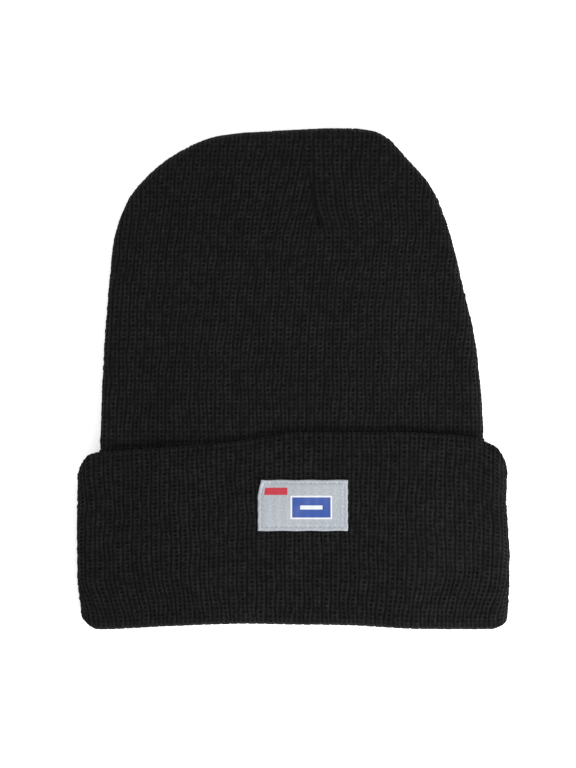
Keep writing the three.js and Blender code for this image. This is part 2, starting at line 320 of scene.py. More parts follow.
sample = stitch_height(np.linspace(0, 1, 60)[:, None], np.linspace(0, 1, 40)[None, :], CROWN_RIB)
print("stitch heights from", sample.min().round(2), "to", sample.max().round(2), "mm")

# %% [markdown]
# ## How the crown's ribs run
# The ribs lean a little to the right going up, as they do in the photograph, and wrap round
# the side folds on to the back. Near the top they are drawn into the two darts, where part
# of the cloth is sewn away, front and back.

# %% The dart and the lines of the ribs
DART_FOOT = (12.3, 77.5)
DART_TOP = (3.4, 123.5)
RIB_LINE = {
    "y": [-112, -30, 0, 20, 50, 77.5, 100, 130],
    "x": [6, 6.2, 6.5, 7.3, 9.8, 12.3, 13.6, 15],
}
CUT_AWAY = {
    "y": [62, 72, 79, 86, 94, 106, 128],
    "left": [0, 0.4, 1.4, 3, 4.4, 5.8, 7.6],
    "right": [0, 0.7, 2.6, 5.4, 7.2, 8.6, 10],
}
REACH = {"left": 34, "right": 42}
RIBS_ROUND = 96

middle_rib = smooth_column(RIB_LINE, "y", "x")
cut_left = smooth_column(CUT_AWAY, "y", "left")
cut_right = smooth_column(CUT_AWAY, "y", "right")


def wander(x, y):
    """Ribs are not ruled lines: each stretch of cloth lies a little to one side."""
    slow = 0.45 * np.sin(y / 13 + np.sin(x / 21) * 2)
    quick = 0.2 * np.sin(y / 5.3 + x / 8.7) + 0.12 * np.sin(y / 3.1 - x / 6.1)
    return slow + quick + 0.2 * np.sin(x / 1.9 + y / 4.1 + 2 * np.sin(y / 9))


def dart_line(y):
    """The dart's line, which goes on below its foot."""
    share = (y - DART_FOOT[1]) / (DART_TOP[1] - DART_FOOT[1])
    return DART_FOOT[0] + (DART_TOP[0] - DART_FOOT[0]) * share


def front_split(y):
    """Where the left half of the crown meets the right one: a valley, then the dart."""
    return np.where(y < DART_FOOT[1], middle_rib(y), dart_line(y))


def drawn_by_dart(from_split, y, side):
    """How far the cloth beside the dart is drawn towards it."""
    cut = cut_left(y) if side == "left" else -cut_right(y)
    return cut * np.exp(-from_split / REACH[side])


def front_ribs(x, y, side):
    """Ribs counted from the middle valley, at an unrolled place on the front."""
    from_split = np.abs(x - front_split(y))
    drawn = drawn_by_dart(from_split, y, side)
    settled = smoothstep(from_split, 0, 12)
    return (x - middle_rib(y) - drawn - wander(x, y) * settled) / CROWN_RIB


# %% Ends of a level row of the crown
def row_ends(y):
    """Unrolled places where a level row meets the outline, left and right."""
    left = unrolled_outline[: top_index + 1]
    right = unrolled_outline[top_index:][::-1]
    left_end = float(np.interp(y, left[:, 1], left[:, 0]))
    return left_end, float(np.interp(y, right[:, 1], right[:, 0]))


top_height = float(unrolled_outline[top_index, 1])
probe = np.linspace(110, top_height, 4000)
corner_height = next(y for y in probe if row_ends(y)[0] >= front_split(y))
corner_x = row_ends(corner_height)[0]
print("the dart meets the seam at", round(corner_x, 2), round(float(corner_height), 2))


# %% Ribs on the back
def count_behind(x, ends, counts):
    """Ribs at a place on the back: the front's count goes on round both side folds."""
    behind = RIBS_ROUND - (counts[1] - counts[0])
    return counts[0] - (x - ends[0]) / (ends[1] - ends[0]) * behind


def back_ribs_plain(x, y):
    """Ribs at a place on the crown's back, without the dart."""
    level = min(y, 90.0)
    ends = row_ends(level)
    counts = [float(front_ribs(end, level, side)) for end, side in zip(ends, ("left", "right"))]
    return count_behind(x, ends, counts)


BACK_VALLEY = round(float(back_ribs_plain(*DART_FOOT)))


def back_split(y):
    """Where the two halves meet behind: a valley of the back, then the dart."""
    places = np.linspace(-60, 90, 400)
    foot_level = min(y, DART_FOOT[1])
    valley = np.interp(-BACK_VALLEY, -back_ribs_plain(places, foot_level), places)
    share = max(y - DART_FOOT[1], 0) / (corner_height - DART_FOOT[1])
    return float(valley + (corner_x - valley) * share)


def back_ribs(x, y, side):
    """Ribs at a place on the back, drawn into the back's dart."""
    from_split = np.abs(x - back_split(y))
    return back_ribs_plain(x, y) + drawn_by_dart(from_split, y, side) / CROWN_RIB


print("back valley:", BACK_VALLEY, " at the foot of the dart:", round(back_split(77.5), 1))

# %% [markdown]
# ## Building a half of the crown
# A mesh whose rows and columns follow the stitches shows every stitch alike. A mesh that
# ignores them would show a false beat between the two patterns. So each row is level with
# the courses, each column follows a rib, and both stop at the outline. Columns that pass
# the end of a row share that row's last point.

# %% Rows of the crown
dense_rows = np.arange(-80, 222) * CROWN_COURSE / 4
row_list = [MOUTH_LEVEL, -100, -85, -70, -58, -50, *dense_rows]
FRONT_STEPS = 8  # columns in a rib in front
BACK_STEPS = 4  # and behind


def half_rows(side):
    """Heights of a half's rows, up to the corner, and for the right half on to the top."""
    rows = [y for y in row_list if y < corner_height - 0.1] + [corner_height]
    if side == "right":
        rows += [y for y in row_list if corner_height + 0.1 < y < top_height - 0.4]
        rows += [top_height - 0.3, top_height - 0.12, top_height]
    return np.array(rows)


print("rows:", len(half_rows("left")), "left and", len(half_rows("right")), "right")


# %% Columns of the crown
def row_spans(side, front, rows):
    """Where each row starts, at the split, and where it ends, at the outline."""
    split_line = front_split if front else back_split
    spans = []
    for y in rows:
        left_end, right_end = row_ends(y)
        split = float(np.clip(split_line(y), left_end, right_end))
        if abs(y - corner_height) < 1e-9:
            split = left_end
        spans.append((split, left_end if side == "left" else right_end))
    return np.array(spans)


def rib_columns(ends, steps):
    """Rib counts of a face's columns in each row: even steps, stopped at the row's ends."""
    wanted = np.arange(math.floor(ends.min() * steps), math.ceil(ends.max() * steps) + 1) / steps
    if ends[0, 0] > ends[0, 1]:
        wanted = wanted[::-1]
    return np.clip(wanted, ends.min(axis=1)[:, None], ends.max(axis=1)[:, None])


def places_at(wanted, places, counts):
    """The places of a row at which its ribs reach the counts that are wanted."""
    order = np.argsort(counts)
    return np.interp(wanted, counts[order], places[order])


def half_face(side, front, rows):
    """Unrolled places and rib counts of one face of a half, row by row."""
    count_ribs = front_ribs if front else back_ribs
    spans = row_spans(side, front, rows)
    ends = [[float(count_ribs(x, y, side)) for x in span] for span, y in zip(spans, rows)]
    ends = np.array(ends)
    counted = rib_columns(ends, FRONT_STEPS if front else BACK_STEPS)
    places = np.zeros_like(counted)
    for j, y in enumerate(rows):
        fine = np.linspace(*spans[j], 500)
        places[j] = places_at(counted[j], fine, count_ribs(fine, y, side))
    return places, counted, counted == ends[:, :1], counted == ends[:, 1:]


# %% The crown in plan
def to_plan(places, y_unrolled):
    """Where unrolled places of the crown lie in plan, and how they lie to its outline."""
    distance, outward = from_outline(places, y_unrolled)
    shift, inset = fold_shift(distance, lie_radius(y_unrolled))
    x = places + outward[..., 0] * shift
    y = y_unrolled + outward[..., 1] * shift
    settle = smoothstep(y_unrolled, MOUTH_LEVEL, MOUTH_LEVEL + MOUTH_SETTLES)
    mouth = fold_line(x) + JOIN["height"] - GAP + 0.05
    return x, y + (1 - settle) * (mouth - MOUTH_LEVEL), inset, outward, distance


# %% Heights of the crown's face
def dart_depth(x, y, split):
    """The sewn darts: a wide hollow, a sharp line in it, and a dimple at its foot."""
    sewn = smoothstep(y, DART_FOOT[1] - 2, DART_FOOT[1] + 4) * (1 - smoothstep(y, 84, 120))
    wide = 0.5 * hill(x - split, 2.2) * sewn
    line = 0.4 * hill(x - split, 0.6) * sewn
    dimple = 1.1 * hill(x - split - 0.4, 1.5) * hill(y - DART_FOOT[1] - 1, 3)
    return wide + line + dimple


def beside_rim(height, above_rim):
    """Height of the stitches beside the cuff's free edge: pressed flat under it, then a hollow."""
    # These heights go into the stitch coordinates, which the knit's colour follows, so the dip and the
    # hollow are real in the mesh and painted shade in the colour.
    height = height - 0.8 * (1 - smoothstep(above_rim, -6, -3))
    height = height - 0.65 * (1 - smoothstep(above_rim, 1.5, 6.5))
    return height + 0.75 * hill(above_rim - 0.5, 0.8)


def crown_face(places, counted, rows, front):
    """Points of one face of the crown's half, with their stitch coordinates."""
    y_unrolled = np.repeat(rows[:, None], places.shape[1], axis=1)
    x, y, inset, outward, distance = to_plan(places, y_unrolled)
    point, direction = skin(x, y, inset, outward, front, 0)
    course = y_unrolled / CROWN_COURSE
    lively = 1 + hand_of_the_knitter(counted, course, 7, LIVELY)
    height = CROWN_RELIEF * stitch_height(counted, course, CROWN_RIB) * lively
    height = beside_rim(height, y - rim_line(x))
    on_seam = smoothstep(outward[..., 1], 0.35, 0.8) * hill(distance, 1.1)
    height = height * (1 - 0.4 * on_seam) + 0.5 * on_seam
    split_line = front_split if front else back_split
    split = np.array([float(split_line(v)) for v in rows])[:, None]
    in_dart = 0.7 * hill(places - split, 0.6) * smoothstep(y_unrolled, 72, 77)
    in_dart = in_dart * (1 - smoothstep(y_unrolled, 112, 122))
    height = height * (1 - in_dart) - dart_depth(places, y, split)
    point = point + direction * (height + CROWN_SWELL)[..., None]
    point[..., 2] = np.maximum(point[..., 2], 0)
    # The heights also go into the stitch coordinates, where they darken the knit's colour in the dips,
    # darts and hollows: painted shade.
    return point, np.stack([counted, course, height], axis=-1)


# %% [markdown]
# ## From grids to one closed mesh
# Each half is a wall of cloth: an outer face and an inner one, in front and behind. They
# share the points of the side fold and of the seam. Narrow strips close the wall at the
# mouth and where the two halves meet, so the mesh is closed and has a true thickness.

# %% Triangles of a grid
def grid_triangles(index, stitch, flip):
    """Triangles of a grid, split along the strands, with the stitch place of each corner."""
    around = [np.s_[:-1, :-1], np.s_[:-1, 1:], np.s_[1:, 1:], np.s_[1:, :-1]]
    number = np.stack([index[corner] for corner in around], axis=-1)
    place = np.stack([stitch[corner] for corner in around], axis=-2)
    rib = place[..., 0]
    course = place[..., 1]
    middle = (rib[..., 0] + rib[..., 2]) / 2
    leans = (middle - np.floor(middle)) < 0.5
    turns = (rib[..., 1] - rib[..., 0]) * (course[..., 3] - course[..., 0]) < 0
    cut = (leans == turns)[..., None]
    halves = [np.where(cut, [0, 1, 2], [0, 1, 3]), np.where(cut, [0, 2, 3], [1, 2, 3])]
    triangles = [np.take_along_axis(number, half, -1).reshape(-1, 3) for half in halves]
    places = [np.take_along_axis(place, half[..., None], -2).reshape(-1, 3, 3) for half in halves]
    order = -1 if flip else 1
    return np.concatenate(triangles)[:, ::order], np.concatenate(places)[:, ::order]


# %% Strips between two lines of points
def strip_triangles(one, one_at, other, other_at, flip):
    """Triangles between two lines of points, each with its own spacing."""
    triangles = []
    i = 0
    j = 0
    while i < len(one) - 1 or j < len(other) - 1:
        take_one = j == len(other) - 1 or (i < len(one) - 1 and one_at[i + 1] <= other_at[j + 1])
        if take_one:
            triangles.append((one[i], one[i + 1], other[j]))
            i += 1
        else:
            triangles.append((one[i], other[j + 1], other[j]))
            j += 1
    triangles = np.array(triangles)
    return triangles[:, ::-1] if flip else triangles


# %% Making the Blender mesh
def make_piece(name, points, parts):
    """A mesh object from points in mm and parts, each with triangles, stitch places and smoothness."""
    triangles = np.concatenate([part[0] for part in parts])
    places = np.concatenate([part[1] for part in parts])
    smooth = np.concatenate([np.full(len(part[0]), part[2]) for part in parts])
    whole = (triangles != np.roll(triangles, 1, axis=1)).all(axis=1)
    used, compact = np.unique(triangles[whole], return_inverse=True)
    compact = compact.reshape(-1, 3)
    mesh = bpy.data.meshes.new(name)
    mesh.from_pydata((points[used] * MM).tolist(), [], compact.tolist())
    mesh.polygons.foreach_set("use_smooth", smooth[whole])
    stitch = mesh.attributes.new("stitch", "FLOAT_VECTOR", "CORNER")
    stitch.data.foreach_set("vector", places[whole].astype(np.float32).ravel())
    mesh.update()
    a, b, c = (points[used][compact[:, k]] for k in range(3))
    volume = (a * np.cross(b, c)).sum() / 6000
    print(name, len(compact), "triangles,", round(float(volume), 1), "cubic cm")
    return add_object(name, mesh)


# %% Inner face of the crown
INNER_COLUMNS = 30
INNER_SHARES = 1 - (1 - np.linspace(0, 1, INNER_COLUMNS + 1)) ** 1.5


def inner_face(side, front, rows):
    """Points of a half's inner face, one wall inside the plain skin."""
    spans = row_spans(side, front, rows)
    places = spans[:, :1] + (spans[:, 1:] - spans[:, :1]) * INNER_SHARES
    y_unrolled = np.repeat(rows[:, None], places.shape[1], axis=1)
    x, y, inset, outward, _ = to_plan(places, y_unrolled)
    point, direction = skin(x, y, inset, outward, front, 0)
    count_ribs = front_ribs if front else back_ribs
    counted = np.array([count_ribs(p, v, side) for p, v in zip(places, rows)])
    stitch = np.stack([counted, y_unrolled / CROWN_COURSE, np.zeros_like(y)], axis=-1)
    return point - direction * WALL, stitch


# %% The grids of a half of the crown
def numbered(points, start, at_split, at_end):
    """Point numbers of a grid, where all columns past an end share that end's number."""
    index = start + np.arange(points.shape[0] * points.shape[1]).reshape(points.shape[:2])
    first = np.where(at_split, index, -1).max(axis=1)
    last = np.where(at_end, index, -1).max(axis=1)
    index = np.where(at_split, first[:, None], index)
    return np.where(at_end, last[:, None], index), first, last


def half_grids(side, rows, inner_rows):
    """The four grids of a half, outer and inner, front and back, numbered one after another."""
    grids = {}
    start = 0
    for front in (True, False):
        places, counted, at_split, at_end = half_face(side, front, rows)
        points, stitch = crown_face(places, counted, rows, front)
        for layer in ("outer", "inner"):
            if layer == "inner":
                points, stitch = inner_face(side, front, inner_rows)
                column = np.arange(points.shape[1]) + np.zeros(points.shape[:2])
                at_split = column == 0
                at_end = column == INNER_COLUMNS
            index, first, last = numbered(points, start, at_split, at_end)
            grid = {"points": points, "stitch": stitch, "index": index, "first": first, "last": last}
            grids[layer, front] = grid
            start += index.size
    return grids


def join_faces(front, back, rows, closes):
    """Lets a front and a back grid share the points of the side fold and of the seam."""
    met = rows >= corner_height - 1e-9
    for j, row in enumerate(back["index"]):
        row[row == back["last"][j]] = front["last"][j]
        if met[j]:
            row[row == back["first"][j]] = front["first"][j]
    back["first"] = np.where(met, front["first"], back["first"])
    back["last"] = front["last"]
    for grid in (front, back):
        grid["index"][-1] = front["last"][-1]
        if closes:
            grid["first"][-1] = front["last"][-1]


def mouth_line(front, back):
    """Point numbers round a half's mouth, in front and back again, and how far along they are."""
    front_x = front["points"][0, :, 0]
    back_x = back["points"][0, ::-1, 0]
    front_at = np.abs(front_x - front_x[0]) / abs(front_x[-1] - front_x[0])
    back_at = 2 - np.abs(back_x - back_x[-1]) / abs(back_x[0] - back_x[-1])
    line = np.concatenate([front["index"][0], back["index"][0, ::-1]])
    return line, np.maximum.accumulate(np.concatenate([front_at, back_at]))


# %% One half of the crown
INNER_STEP = 14  # rows of stitches to a row of the inner face


def crown_half(side):
    """The left or right half of the crown as one closed wall of knit."""
    rows = half_rows(side)
    dense_from = int(np.argmin(np.abs(rows - dense_rows[0])))
    above = range(int(np.argmin(np.abs(rows - corner_height))), len(rows))
    inner_rows = rows[sorted({*range(dense_from), *range(dense_from, len(rows), INNER_STEP), *above})]
    layers = {"outer": rows, "inner": inner_rows}
    grids = half_grids(side, rows, inner_rows)
    mirrored = side == "left"
    for layer, layer_rows in layers.items():
        join_faces(grids[layer, True], grids[layer, False], layer_rows, mirrored)
    parts = []
    for (layer, front), grid in grids.items():
        flip = (layer == "outer") ^ front ^ mirrored
        parts.append((*grid_triangles(grid["index"], grid["stitch"], flip), True))
    strips = []
    for front in (True, False):
        lines = []
        for layer, layer_rows in layers.items():
            below = layer_rows <= corner_height + 1e-9
            lines += [grids[layer, front]["first"][below], layer_rows[below]]
        strips.append(strip_triangles(*lines, front == mirrored))
    rims = [mouth_line(grids[layer, True], grids[layer, False]) for layer in layers]
    strips.append(strip_triangles(*rims[0], *rims[1], not mirrored))
    for strip in strips:
        parts.append((strip, np.zeros((len(strip), 3, 3)), False))
    points = np.concatenate([grid["points"].reshape(-1, 3) for grid in grids.values()])
    return make_piece(f"crown_{side}", points, parts)


crown_left = crown_half("left")
crown_right = crown_half("right")

# %% [markdown]
# ## The cuff
# The cuff is the same tube, turned up. Its section runs round the fold, up the face, over
# the free edge and down inside to the crown's mouth, so one grid that closes on itself in
# both directions makes it. Its knit is upside down, because the cloth has turned round.

# %% Section of the cuff
CUFF_COURSES = 41
ROWS_IN_COURSE = 3
RIM_SINK = 0.7  # the face sinks this much towards the free edge, where the knit is thinner
RIM_SINK_FROM = 0.955  # from this share of the way up


def section_row(share, out, up, course, relief, depth, rise=0.0, lining=0.0):
    """One row of the section: where it lies, which way it faces and how high its stitches are."""
    return [share, depth, rise, out, up, course, relief, lining]


section = []
for part in np.linspace(0, 1, 11)[:0:-1]:
    course = CUFF_COURSES + (math.pi * LIP + part * JOIN["height"]) / CUFF_COURSE
    section.append(section_row(JOIN["share"] * part, -1, 0, course, 0.6, 2 * LIP, lining=part))
for angle in np.linspace(0, math.pi, 15):
    out = -math.cos(angle)
    up = -math.sin(angle)
    course = CUFF_COURSES + (math.pi - angle) * LIP / CUFF_COURSE
    section.append(section_row(0, out, up, course, 0.8, LIP - LIP * out, LIP * up))
face_rows = CUFF_COURSES * ROWS_IN_COURSE
for j in range(1, face_rows):
    sink = RIM_SINK * smoothstep(j / face_rows, RIM_SINK_FROM, 1)
    section.append(section_row(j / face_rows, 1, 0, CUFF_COURSES - j / ROWS_IN_COURSE, 1, sink))
for angle in np.linspace(0, math.pi, 9):
    out = math.cos(angle)
    up = math.sin(angle)
    relief = 0.9 if angle < 2 else 0.3
    depth = RIM_SINK + (RIM - RIM_SINK / 2) * (1 - out)
    section.append(section_row(1, out, up, -angle * RIM / CUFF_COURSE, relief, depth, RIM * up))
for share in (0.75, 0.5, 0.25):
    section.append(section_row(share, 1, 0, CUFF_COURSES * (1 - share), 0, WALL))
section.append(section_row(JOIN["share"], 1, 0, 36, 0, WALL, lining=1.0))
section = np.array(section)
print("rows round the cuff's section:", len(section))

# %% How the cuff's ribs run
CUFF_DEPTH = 95  # from the fold to the free edge
MIDDLE_RIB = 24  # rib count on the middle line of the front


def cuff_row_ends(share):
    """Sides of a row in plan, its fold radius, and the unrolled places of both ends."""
    level = fold_line(0) + (rim_line(0) - fold_line(0)) * share
    radius = lie_radius(level) + LAYER
    use = (math.pi / 2 - 1) * radius
    left = cuff_left_side(share)
    right = cuff_right_side(share)
    return left, right, radius, left - use, right + use


def cuff_ribs(x, share, front):
    """Ribs on the cuff, which draw together towards the fold."""
    drawn = 0.055 * (1 - smoothstep(share, 0, 0.3)) - 0.012 * smoothstep(share, 0.6, 1)
    pitch = CUFF_RIB * (1 - drawn)

    def in_front(place):
        return MIDDLE_RIB + (place - wander(place, share * CUFF_DEPTH)) / pitch

    if front:
        return in_front(x)
    ends = cuff_row_ends(share)[3:]
    return count_behind(x, ends, [in_front(end) for end in ends])


# %% One face of the cuff
def cuff_face(front):
    """Points and stitch coordinates of the cuff's front or back, row by row."""
    shares = section[:, 0]
    ends = [[cuff_ribs(x, share, front) for x in cuff_row_ends(share)[3:]] for share in shares]
    ends = np.array(ends, float)
    counted = rib_columns(ends, FRONT_STEPS if front else BACK_STEPS)
    points = np.zeros(counted.shape + (3,))
    stitch = np.zeros(counted.shape + (3,))
    for j, (share, depth, rise, out, up, course, relief, lining) in enumerate(section):
        left, right, radius, left_end, right_end = cuff_row_ends(share)
        fine = np.linspace(left_end, right_end, 300)
        place = places_at(counted[j], fine, cuff_ribs(fine, share, front))
        nearest = np.minimum(place - left_end, right_end - place)
        inset = fold_shift(nearest, radius)[1]
        x = np.where(place < 0, left + inset, right - inset)
        turn = np.clip(1 - inset / radius, 0, 1)
        lift = np.where(x < 0, LIP_LIFT["left"], LIP_LIFT["right"]) * turn**2
        start = fold_line(x) + lift + LIP
        y = start + (rim_line(x) - RIM_DROP * turn**3 - RIM - start) * share
        if lining > 0:
            y = start + (fold_line(x) + JOIN["height"] - GAP - start) * lining
        outward = np.stack([np.where(place < 0, -1.0, 1.0), np.zeros_like(x)], axis=-1)
        point, direction = skin(x, y, inset, outward, front, LAYER)
        course_here = np.full_like(x, course)
        lively = 1 + hand_of_the_knitter(counted[j], course_here, 11, LIVELY)
        height = stitch_height(counted[j], course, CUFF_RIB) * lively * relief
        points[j] = point + direction * (height * out - depth)[:, None]
        points[j, :, 1] += rise + 0.4 * height * up
        points[j, :, 2] = np.maximum(points[j, :, 2], 0)
        # The height goes into the stitch coordinates, where lower stitches darken the knit's colour:
        # painted shade.
        stitch[j] = np.stack([counted[j], course_here, height], axis=-1)
    return points, stitch, counted == ends[:, :1], counted == ends[:, 1:]


# %% The cuff as one closed ring
def cuff_piece():
    """The cuff: a front and a back grid that share their side points and close on themselves."""
    front_points, front_stitch, *sides = cuff_face(True)
    front_index, first, last = numbered(front_points, 0, *sides)
    back_points, back_stitch, *sides = cuff_face(False)
    back_index, back_first, back_last = numbered(back_points, front_index.size, *sides)
    back_index = np.where(back_index == back_first[:, None], first[:, None], back_index)
    back_index = np.where(back_index == back_last[:, None], last[:, None], back_index)
    parts = []
    for index, stitch, flip in ((front_index, front_stitch, False), (back_index, back_stitch, True)):
        index = np.concatenate([index, index[:1]])
        stitch = np.concatenate([stitch, stitch[:1]])
        parts.append((*grid_triangles(index, stitch, flip), True))
    points = np.concatenate([front_points.reshape(-1, 3), back_points.reshape(-1, 3)])
    return make_piece("cuff_knit", points, parts)


cuff = cuff_piece()

# %% [markdown]
# ## The label
# The label is a small woven patch, sewn down along its four edges. It follows the cuff's
# face, its edges are drawn down by the stitches, and its top left corner stands a little
# off the knit. A thin grid with a front and a back gives it its real thickness.

# %% The label's cloth
LABEL = {"x": 4.7, "y": -62.8, "width": 44.6, "height": 25.2, "thick": 0.55}
LABEL_CORNER = {"lift": 0.9, "reach": 7}
LABEL_SEAM = 1.8  # distance of the sewing from the edge
LABEL_STITCH = 2.4  # distance from stitch to stitch
LABEL_LIFT = 0.95  # its middle lies this much over the cuff's plain face
LABEL_SOFT = 0.12  # its outermost threads are this much thinner on each side
THREAD = {"radius": 0.24, "reach": 0.65, "dip": 0.22, "sides": 8}


def label_height(across, up):
    """Height of the label's middle at a place measured from its centre."""
    x = LABEL["x"] + across
    y = LABEL["y"] + up
    under = lie_over(y) + LAYER + unevenness(x, y)
    half_width = LABEL["width"] / 2
    half_height = LABEL["height"] / 2
    to_corner = np.hypot(across + half_width, up - half_height)
    corner = LABEL_CORNER["lift"] * (1 - smoothstep(to_corner, 0, LABEL_CORNER["reach"]))
    to_edge = np.minimum(half_width - np.abs(across), half_height - np.abs(up))
    run = np.where(half_width - np.abs(across) < half_height - np.abs(up), up, across)
    pull = 0.5 + 0.5 * np.cos(2 * math.pi * run / LABEL_STITCH)
    sewn = hill(to_edge - LABEL_SEAM, 0.7) * (0.16 + 0.14 * pull)
    ribs = 0.05 * np.sin(2 * math.pi * (MIDDLE_RIB + x / CUFF_RIB))
    edge = 0.22 * hill(to_edge, 0.5)
    return under + LABEL_LIFT - sewn - edge + corner + ribs


def label_lean(across, up):
    """How far the label's top left corner leans to the right."""
    at_top = 1.5 * smoothstep(up, LABEL["height"] / 2 - 8, LABEL["height"] / 2)
    return at_top * smoothstep(-across, LABEL["width"] / 2 - 9, LABEL["width"] / 2)


def label_piece():
    """The label as a closed thin grid."""
    across = np.linspace(-0.5, 0.5, 121) * LABEL["width"]
    up = np.linspace(-0.5, 0.5, 71) * LABEL["height"]
    across, up = np.meshgrid(across, up)
    wave = 0.1 * np.sin(up * 1.1 + 0.5) * (np.abs(across) / LABEL["width"] * 2) ** 8
    x = LABEL["x"] + across + label_lean(across, up) + wave
    y = LABEL["y"] + up + 0.1 * np.sin(across * 0.45) * (np.abs(up) / LABEL["height"] * 2) ** 8
    half_thick = np.full_like(across, LABEL["thick"] / 2 - LABEL_SOFT)
    half_thick[1:-1, 1:-1] += LABEL_SOFT
    faces = [np.stack([x, y, label_height(across, up) + s * half_thick], -1) for s in (1, -1)]
    count = across.size
    index = np.arange(count).reshape(across.shape)
    place = np.stack([across, up, np.zeros_like(up)], -1)
    parts = [(*grid_triangles(index, place, False), True)]
    parts.append((*grid_triangles(index + count, place, True), True))
    ring = np.concatenate([index[0, :-1], index[:-1, -1], index[-1, :0:-1], index[:0:-1, 0]])
    after = np.roll(ring, -1)
    for corners in ((ring, ring + count, after), (after, ring + count, after + count)):
        edge = np.stack(corners, -1)
        parts.append((edge, place.reshape(-1, 3)[edge % count], True))
    points = np.concatenate([face.reshape(-1, 3) for face in faces])
    return make_piece("label_patch", points, parts)


label = label_piece()


# %% The label's sewing
def sewing_places():
    """Middle and direction of each stitch, round the label at a constant distance in."""
    half_width = LABEL["width"] / 2 - LABEL_SEAM
    half_height = LABEL["height"] / 2 - LABEL_SEAM
    places = []
    for side in (-1, 1):
        for run in np.arange(-half_width + 0.6, half_width, LABEL_STITCH):
            places.append((run, side * half_height, 1, 0))
        for run in np.arange(-half_height + 1.6, half_height - 1, LABEL_STITCH):
            places.append((side * half_width, run, 0, 1))
    return places


def thread_points(across, up, run_x, run_y):
    """Points of one stitch: rings along an arc that dips at both ends, then its two tips."""
    rings = []
    for t in np.linspace(-1, 1, 9)[1:-1]:
        thick = THREAD["radius"] * math.sqrt(1 - t**4)
        u = across + run_x * THREAD["reach"] * t
        v = up + run_y * THREAD["reach"] * t
        x = u + label_lean(u, v)
        top = label_height(u, v) + LABEL["thick"] / 2 + 0.1 - THREAD["dip"] * t**2
        for a in np.arange(THREAD["sides"]) * 2 * math.pi / THREAD["sides"]:
            side = math.cos(a) * thick
            rings.append((x - run_y * side, v + run_x * side, top + math.sin(a) * thick))
    rings = np.array(rings, float)
    tips = [rings[: THREAD["sides"]].mean(0), rings[-THREAD["sides"] :].mean(0)]
    return np.concatenate([rings, tips]) + (LABEL["x"], LABEL["y"], 0)


def thread_triangles(count):
    """Triangles of one stitch that has so many points."""
    around = THREAD["sides"]
    last_ring = count - 2 - around
    triangles = []
    for k in range(around):
        n = (k + 1) % around
        for ring in range(0, last_ring, around):
            a = ring + k
            b = ring + n
            triangles += [(a, b, b + around), (a, b + around, a + around)]
        triangles.append((count - 2, n, k))
        triangles.append((count - 1, last_ring + k, last_ring + n))
    return np.array(triangles)


def sewing_piece():
    """One mesh with a small closed thread for each stitch."""
    threads = [thread_points(*place) for place in sewing_places()]
    count = len(threads[0])
    triangles = np.concatenate([thread_triangles(count) + k * count for k in range(len(threads))])
    points = np.concatenate(threads)
    return make_piece("label_stitches", points, [(triangles, points[triangles], True)])


label_stitches = sewing_piece()

# %% [markdown]
# ## The knit's finish
# The yarn is nearly black. What makes it look like yarn is its relief: the mesh already has
# each strand, and the material adds what is finer. Two plies twist round each other along
# the strand, and loose fibres cover them. The stitch coordinates that each corner of the
# mesh carries say where on its stitch a point is, so the plies follow every strand.
# The colour is also darkened where the yarn lies low, in the valleys and in the holes: painted shade.

# %% Node helpers
def new_material(name):
    """A material with a Principled shader, and its nodes."""
    material = bpy.data.materials.new(name)
    material.use_nodes = True
    nodes = material.node_tree.nodes
    return material, nodes, material.node_tree.links, nodes["Principled BSDF"]


def calculator(nodes, links):
    """Functions that add Math nodes: any operation, a product, and a value times a plus b."""

    def calc(operation, *values):
        node = nodes.new("ShaderNodeMath")
        node.operation = operation
        for socket, value in zip(node.inputs, values):
            if isinstance(value, (int, float)):
                socket.default_value = value
            else:
                links.new(value, socket)
        return node.outputs[0]

    def times(one, other):
        return calc("MULTIPLY", one, other)

    def linear(value, a, b):
        return calc("MULTIPLY_ADD", value, a, b)

    return calc, times, linear


def stitch_place(nodes, links):
    """The stitch coordinates of the mesh, as a vector and as three numbers."""
    attribute = nodes.new("ShaderNodeAttribute")
    attribute.attribute_name = "stitch"
    split = nodes.new("ShaderNodeSeparateXYZ")
    links.new(attribute.outputs["Vector"], split.inputs[0])
    return attribute.outputs["Vector"], *split.outputs


def add_noise(nodes, links, vector, scale, detail, roughness):
    """A noise texture's value."""
    noise = nodes.new("ShaderNodeTexNoise")
    noise.inputs["Scale"].default_value = scale
    noise.inputs["Detail"].default_value = detail
    noise.inputs["Roughness"].default_value = roughness
    if vector is not None:
        links.new(vector, noise.inputs["Vector"])
    return noise.outputs["Fac"]


def add_ramp(nodes, links, value, stops):
    """A colour that follows a value between two stops, each a position and a colour."""
    ramp = nodes.new("ShaderNodeValToRGB")
    for element, (position, colour) in zip(ramp.color_ramp.elements, stops):
        element.position = position
        element.color = (*colour, 1)
    links.new(value, ramp.inputs["Fac"])
    return ramp.outputs["Color"]


def add_bump(nodes, links, shader, height, strength, depth):
    """Relief too fine for the mesh, its depth in mm."""
    bump = nodes.new("ShaderNodeBump")
    bump.inputs["Strength"].default_value = strength
    bump.inputs["Distance"].default_value = depth * MM
    links.new(height, bump.inputs["Height"])
    links.new(bump.outputs["Normal"], shader.inputs["Normal"])


